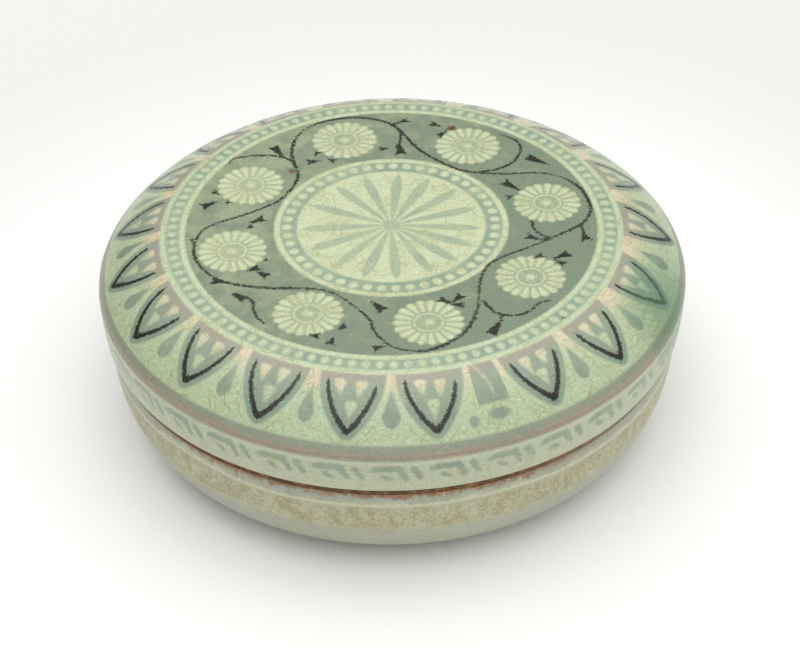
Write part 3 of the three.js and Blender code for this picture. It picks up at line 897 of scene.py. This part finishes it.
def inlaid_glaze():
    """The cover's coat: white and black clay under celadon glaze, with crackle, stains and a pool."""
    look = Look("inlaid_celadon")
    reach = look.stored("reach")
    outline = look.stored("outline")
    grain = look.noise(0.17, 2, 0.6)
    fine = look.noise(0.45, 3, 0.6)
    cloud = look.noise(3.0, 3, 0.55)
    broad = look.noise(16.0, 2)
    ragged = fine * 0.75 + grain * 0.5

    # Runs are millimetres down the shoulder and the side
    run = reach - RUN_START
    in_field = reach.hump((MEDALLION_LINE + INNER_LINE) / 2, (INNER_LINE - MEDALLION_LINE) / 2, 0.3)
    on_shoulder = run.rises(4.2, 4.7)
    on_side = run.rises(15.9, 16.5)

    lines = abs(reach - MEDALLION_LINE).least(abs(reach - INNER_LINE), abs(reach - OUTER_LINE))
    lines = lines - LINE_WIDTH / 2 + ragged
    bead_ring = (MEDALLION_RADIUS + MEDALLION_LINE) / 2
    round_beads = beads(look, reach, bead_ring, MEDALLION_BEADS, 0.66, 0.6, ragged)
    bead_band = (INNER_LINE + OUTER_LINE) / 2
    oval_beads = beads(look, reach, bead_band, BAND_BEADS, 0.68, 0.5, ragged)
    flower, flower_radius = chrysanthemum(look, ragged)
    white = (look.stored("white") + ragged).least(lines, round_beads, oval_beads, flower)
    smeared = flower_radius.rises(4.8, 4.1) * 0.42 + reach.rises(13.4, 12.6) * 0.3
    white_share = white.rises(0.24, -0.18).most(smeared * (cloud + fine + 1))
    petal_lines = abs(outline) - look.stored("half_stroke") + ragged * 0.9
    black = (look.stored("black") + ragged * 1.2).least(petal_lines)
    black_share = black.rises(0.12, -0.14) * (fine + grain + cloud * 0.6 + 1.05).least(1)

    body = look.mix(BODY, BODY_PALE, (cloud * 1.6 + broad * 1.4 + 0.45).rises(0, 1))
    body = look.mix(body, FIELD, in_field * 0.9)
    paler = (cloud * 2 + look.x * -0.014 + look.y * 0.006 + 0.2).rises(0, 1)
    body = look.mix(body, FIELD_PALE, in_field * paler * 0.8)
    near_tip = outline.hump(0.6, 0.3, 0.6) * run.rises(8.5, 12)
    body = look.mix(body, PETAL_TEAL, near_tip * 0.4)
    body = look.mix(body, PETAL_GREY, outline.rises(0.2, -0.6) * on_shoulder * 0.7)
    mauve = run.rises(6.8, 4.6) * on_shoulder
    body = look.mix(body, MAUVE, mauve * (cloud * 1.2 + 0.75).least(1))
    body = look.mix(body, SIDE, on_side)
    body = look.mix(body, BAND_GREY, run.hump(14.7, 0.6, 0.25) * 0.9)

    clay = look.mix(WHITE, WHITE_CLOUD, (cloud * 1.5 + fine * 2.2 + 0.42).rises(0, 1))
    clay = look.mix(clay, WHITE_BRIGHT, (fine * 3 + grain * 2.4 - 0.25).rises(0, 1) * 0.8)
    clay = look.mix(clay, WHITE_GREEN, run.rises(7, 10) * (cloud + 0.55))
    clay = look.mix(clay, WHITE_PINK, run.rises(8.2, 4.8) * on_shoulder * 0.75)
    clay = look.mix(clay, WHITE_BAND, run.rises(1.0, 1.6) * run.rises(4.3, 3.9) * 0.8)
    colour = look.mix(body, clay, white_share * (fine * 0.9 + cloud * 0.5 + 0.92).least(1))

    fret = (look.stored("fret") + cloud * 0.5 + ragged).rises(0.26, -0.24)
    colour = look.mix(colour, FRET, fret * (broad * 0.6 + cloud * 0.8 + 0.85).least(1) * on_side)
    stain = (look.noise(1.3, 4, 0.65) * 3 + 0.1).rises(0, 1) * run.hump(19.2, 1.5, 1.0)
    colour = look.mix(colour, STAIN, stain * 0.55)
    colour = look.mix(colour, PINK_BAND, run.hump(15.65, 0.5, 0.3) * (cloud * 0.8 + 0.75).least(1))
    colour = look.mix(colour, PINK_LINE, (run + fine * 0.2).hump(15.7, 0.07, 0.1) * (cloud * 1.5 + 0.6))
    colour = look.mix(colour, PALE_LINE, run.hump(16.6, 0.3, 0.3) * 0.5)
    colour = look.mix(colour, RIM_PALE, run.rises(20.6, 21.8) * 0.6)

    colour = look.mix(colour, INK, black_share.most(0))

    wide_net = look.cracks(3.4, 2.6)
    close_net = look.cracks(1.15, 1.1)
    wide_line = wide_net.rises(0.1, 0) * (look.noise(5.0) * 4 + 0.45).rises(0, 1)
    close_line = close_net.rises(0.11, 0) * (look.noise(3.0) * 4 + 0.5).rises(0, 1)
    scallops = abs(outline + look.noise(2.5) * 1.2 - 2.0)
    scallop_line = scallops.rises(0.13, 0.02) * run.hump(12.9, 1.3, 0.5) * (cloud * 3 + 0.6).rises(0, 1)
    under = white_share * 0.65 + on_side * 0.2 + 0.2
    colour = look.mix(colour, CRACK, wide_line.most(close_line * 0.8, scallop_line) * under * 0.7)
    patches = (look.noise(1.6, 5, 0.75) * 3.6).rises(0, 1) * (white_share * 0.9 + 0.1)
    colour = look.mix(colour, AGED, patches * 0.6)
    brown = (look.noise(0.9, 3, 0.6) * 6 - 1.15).rises(0, 1) * (look.noise(12.0) * 5 + 0.3).rises(0, 1)
    colour = look.mix(colour, OCHRE, brown * 0.5)

    pool_place = look.from_point(POOL_MIDDLE) + cloud * 8
    pool = pool_place.rises(12, 2.5) * run.rises(5, 8)
    colour = look.mix(colour, POOL, pool * 0.55)
    for point, size in SPECKS:
        spot = (look.from_point(point) + ragged * 1.5).rises(size, size * 0.5)
        colour = look.mix(colour, IRON, spot * 0.75)

    # Painted shade and light: the colour darkens down the shoulder's slope and brightens on the side, as the
    # light falls on them; grain and fine add a speckled tone on top.
    shade = run.rises(2, 12) * -0.22 + on_side * 0.25 + 1
    colour = look.brightened(colour, shade + grain * 0.5 + fine * 0.35)
    pits = look.cracks(0.9, 0.2).rises(0.42, 0.5)
    height = broad * 0.35 + cloud * 0.035 + white_share * 0.02 - black_share * 0.015
    height = height - wide_line * 0.02 - close_line * 0.008 - pits * 0.01
    roughness = cloud * 0.12 + fine * 0.1 + 0.25 + on_side * 0.08
    look.shader.inputs["IOR"].default_value = 1.5
    return look.finish(colour, roughness, height)


def worn_glaze():
    """The box's coat: a thin, dry, mottled glaze with a light line under the rim and spur marks below."""
    look = Look("worn_celadon")
    under_seam = look.z * -1 + SEAM
    grain = look.noise(0.2, 2, 0.6)
    fine = look.noise(0.5, 3, 0.65)
    cloud = look.noise(2.2, 3, 0.6)
    broad = look.noise(18.0, 2)
    drips = look.noise(1.2, 3, 0.6, stretch=(1, 1, 3))
    level = under_seam + broad * 1.2 + cloud * 0.4

    colour = look.mix(BOX_GLAZE, BOX_GLAZE_PALE, (cloud * 1.8 + broad + 0.5).rises(0, 1))
    colour = look.mix(colour, BOX_BAND, level.rises(2.0, 1.6) * 0.8)
    mottled = (level + fine * 1.5).hump(5.2, 2.2, 0.7)
    colour = look.mix(colour, BOX_OLIVE, mottled * 0.85)
    spots = (fine * 4 + drips * 2.6 + grain * 2.4 + 0.3).rises(0, 0.9)
    colour = look.mix(colour, BOX_BROWN, mottled * spots * 0.75)
    flecks = (look.noise(0.55, 2, 0.5) * 5 - 0.8).rises(0, 1)
    colour = look.mix(colour, RUST, mottled * flecks * 0.8)
    pale_spots = (look.noise(0.8, 3, 0.6) * 5 - 0.35).rises(0, 1)
    colour = look.mix(colour, PALE_LINE, mottled * pale_spots * 0.65)
    line = (level + fine * 0.4).hump(2.6, 0.26, 0.2)
    colour = look.mix(colour, PALE_LINE, line * 0.75)
    bottom = level.rises(7.0, 8.6)
    colour = look.mix(colour, BOX_BASE, bottom * 0.8)
    at_front = look.from_point(RUST_MIDDLE) + cloud * 9
    rust = (under_seam + drips * 2.4 + cloud * 1.4 + fine * 1.6).rises(1.6, 0.8) * at_front.rises(44, 18)
    colour = look.mix(colour, RUST, rust * (cloud * 1.6 + grain * 2 + 0.8).rises(0, 1))
    embers = (fine * 5 + grain * 5 + cloud * 2 - 0.3).rises(0, 1)
    colour = look.mix(colour, EMBER, rust * embers * 0.8)

    net = look.cracks(2.6, 2.0)
    net_line = net.rises(0.09, 0) * (look.noise(6.0) * 4 + 0.4).rises(0, 1)
    colour = look.mix(colour, CRACK, net_line * 0.35)
    colour = look.mix(colour, CLAY_GREY, look.z.rises(0.5, 0.1) * 0.8)
    for turn in np.radians(SPUR_TURNS):
        point = (SPUR_RING * math.cos(turn), SPUR_RING * math.sin(turn), FOOT_RECESS)
        spur = (look.from_point(point) + fine * 0.9).rises(1.5, 1.1)
        colour = look.mix(colour, SPUR, spur * 0.8)
    colour = look.brightened(colour, fine * 0.35 + grain * 0.5 + 1.08)

    height = broad * 0.3 + cloud * 0.1 + fine * 0.09 + grain * 0.03 - net_line * 0.01
    height = height - mottled * spots * 0.06
    roughness = fine * 0.12 + cloud * 0.1 + 0.42
    return look.finish(colour, roughness, height)


def plain_glaze():
    """The glaze inside both vessels: thin, even and finely crackled."""
    look = Look("inner_celadon")
    cloud = look.noise(4.0, 3, 0.6)
    fine = look.noise(0.5, 3, 0.6)
    colour = look.mix(BODY_PALE, BOX_GLAZE_PALE, (cloud * 2 + look.noise(20.0) + 0.5).rises(0, 1))
    net = look.cracks(2.2, 1.8).rises(0.07, 0.02) * (look.noise(7.0) * 3 + 0.7).rises(0, 1)
    colour = look.mix(colour, CRACK, net * 0.4)
    flecks = (look.noise(0.7, 2) * 4 - 1.25).rises(0, 1)
    colour = look.mix(colour, IRON, flecks * 0.6)
    return look.finish(colour, cloud * 0.1 + fine * 0.08 + 0.26, cloud * 0.06 - net * 0.01)


def bare_clay():
    """The unglazed clay of the rims: grey-brown, and burnt orange in patches where it met the fire."""
    look = Look("bare_clay")
    fine = look.noise(0.3, 4, 0.7)
    cloud = look.noise(1.6, 3, 0.6)
    at_front = (look.from_point(RUST_MIDDLE) + cloud * 9).rises(46, 20)
    colour = look.mix(CLAY_GREY, CLAY_TAN, (look.noise(5.0, 3) * 3 + cloud + 0.5).rises(0, 1))
    burnt = look.mix(CLAY_BROWN, CLAY_ORANGE, (cloud * 3 + fine * 2 + 0.3).rises(0, 1))
    colour = look.mix(colour, burnt, at_front * 0.9)
    grit = (look.noise(0.45, 2) * 5 - 1.0).rises(0, 1)
    colour = look.mix(colour, IRON_DARK, grit * 0.7)
    return look.finish(colour, fine * 0.1 + 0.82, fine * 0.08 + cloud * 0.05)


def painted_light_floor():
    """The pale ground, with the faint tooth of paper and painted light: paler near the box and darker
    further out.
    """
    look = Look("painted_light_floor")
    tooth = look.noise(1.2, 3, 0.6)
    # Painted light: the floor is paler near the box and darker further out.
    colour = look.mix(FLOOR_NEAR_PAINTED_LIGHT, FLOOR_FAR_PAINTED_DIM, look.from_point((0, 0, 0)).rises(45, 110))
    colour = look.brightened(colour, tooth * 0.03 + 1)
    return look.finish(colour, tooth * 0.05 + 0.85, tooth * 0.02)


cover_clay, cover_glaze, cover_lining = make_cover()
box_clay, box_glaze, box_lining = make_box()

clay_material = bare_clay()
lining_material = plain_glaze()
cover_glaze.data.materials.append(inlaid_glaze())
box_glaze.data.materials.append(worn_glaze())
for piece in (box_lining, cover_lining):
    piece.data.materials.append(lining_material)
for piece in (box_clay, cover_clay):
    piece.data.materials.append(clay_material)

for piece in (cover_clay, cover_glaze, cover_lining):
    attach(piece, "cover")
for piece in (box_clay, box_glaze, box_lining):
    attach(piece, "box")
inlays = [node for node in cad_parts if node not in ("box_body", "cover_body")]
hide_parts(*inlays)
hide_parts("cover_body")
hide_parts("box_body")


def make_floor():
    """A flat sheet under the box, with half its side in metres."""
    mesh = bpy.data.meshes.new("floor")
    half = 3.0
    corners = [(-half, -half, 0), (half, -half, 0), (half, half, 0), (-half, half, 0)]
    mesh.from_pydata(corners, [], [(0, 1, 2, 3)])
    mesh.materials.append(painted_light_floor())
    placed("floor", mesh)


def area_light(name, place, target, size, power):
    """A rectangular lamp that faces a target, in metres and watts."""
    light = bpy.data.lights.new(name, "AREA")
    light.shape = "RECTANGLE"
    light.size, light.size_y = size
    light.energy = power
    holder = placed(name, light)
    holder.location = place
    holder.rotation_euler = (Vector(target) - Vector(place)).to_track_quat("-Z", "Y").to_euler()


def make_camera():
    """The photograph's camera, fitted to the rings on the cover and to the seam."""
    data = bpy.data.cameras.new("camera")
    data.sensor_width = 36
    data.sensor_fit = "HORIZONTAL"
    data.lens = 98.95
    camera = placed("camera", data)
    ahead = Vector((0.00310, 0.78358, -0.62129)).normalized()
    right = Vector((0.99978, -0.01543, -0.01448)).normalized()
    up = right.cross(ahead)
    turn = Matrix((right, up, -ahead)).transposed().to_4x4()
    camera.matrix_world = Matrix.Translation(Vector((0, -249.64, COVER_BASE + 193.33)) * MM) @ turn
    bpy.context.scene.camera = camera


def studio():
    """Soft white light: most from above, less from the sides, and dim where the crown mirrors it."""
    world = bpy.data.worlds.new("studio")
    world.use_nodes = True
    tree = world.node_tree
    here = tree.nodes.new("ShaderNodeTexCoord")
    parts = tree.nodes.new("ShaderNodeSeparateXYZ")
    tree.links.new(here.outputs["Generated"], parts.inputs[0])
    right, back, up = (Value(tree, entry) for entry in parts.outputs)
    towards_back = back * 0.82 + up * 0.57
    even = up * up * 1.15 - right * right * 0.5 + right * 0.22 + 0.6
    strength = even * (towards_back.rises(0.97, 0.6) * 0.6 + 0.4) * (up.rises(0, 0.3) * 0.3 + 0.7)
    connect(tree, strength, tree.nodes["Background"].inputs["Strength"])
    tree.nodes["Background"].inputs["Color"].default_value = (1, 1, 1, 1)
    return world


make_floor()
make_camera()
area_light("key", (-0.15, 0.25, 1.0), (0, 0, 0), (1.2, 1.2), 3.2)
bpy.context.scene.world = studio()
bpy.context.scene.view_settings.view_transform = "Standard"
